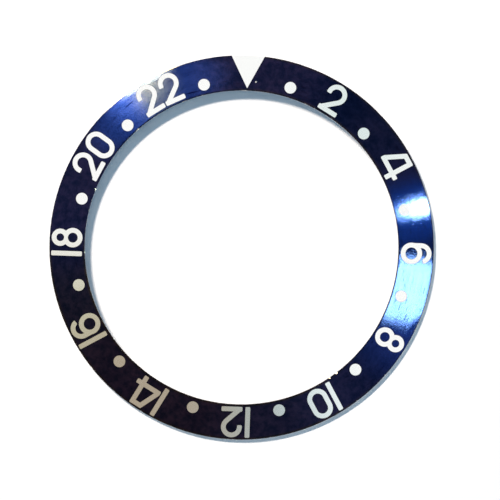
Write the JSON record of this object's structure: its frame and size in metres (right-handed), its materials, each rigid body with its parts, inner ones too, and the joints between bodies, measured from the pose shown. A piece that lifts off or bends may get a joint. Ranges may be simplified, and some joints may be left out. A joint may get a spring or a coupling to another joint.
{
  "type": "watch bezel insert",
  "caption": "Dished ring insert for a watch's turning bezel: a blue-faced aluminium ring with inlaid 24-hour numerals, dots and a triangle.",
  "frame": {"origin": "middle of the ring, at the plane of the flat seat under its outer rim", "axes": "+Z along the ring's axis towards the face, +Y towards the triangle at 24, +X towards 6"},
  "size_m": [0.0378, 0.0378, 0.0014],
  "materials": {
    "bare_aluminium": "bare turned aluminium, satin",
    "blue_coat": "dark blue anodised coat, circular-brushed satin sheen",
    "marking_white": "silvery white infill, satin"
  },
  "bodies": {
    "root": {"ring": "bare_aluminium", "blue_face": "blue_coat", "triangle_24": "marking_white", "numeral_2": "marking_white", "numeral_4": "marking_white", "numeral_6": "marking_white", "numeral_8": "marking_white", "numeral_10": "marking_white", "numeral_12": "marking_white", "numeral_14": "marking_white", "numeral_16": "marking_white", "numeral_18": "marking_white", "numeral_20": "marking_white", "numeral_22": "marking_white", "dot_1": "marking_white", "dot_3": "marking_white", "dot_5": "marking_white", "dot_7": "marking_white", "dot_9": "marking_white", "dot_11": "marking_white", "dot_13": "marking_white", "dot_15": "marking_white", "dot_17": "marking_white", "dot_19": "marking_white", "dot_21": "marking_white", "dot_23": "marking_white"}
  },
  "joints": []
}
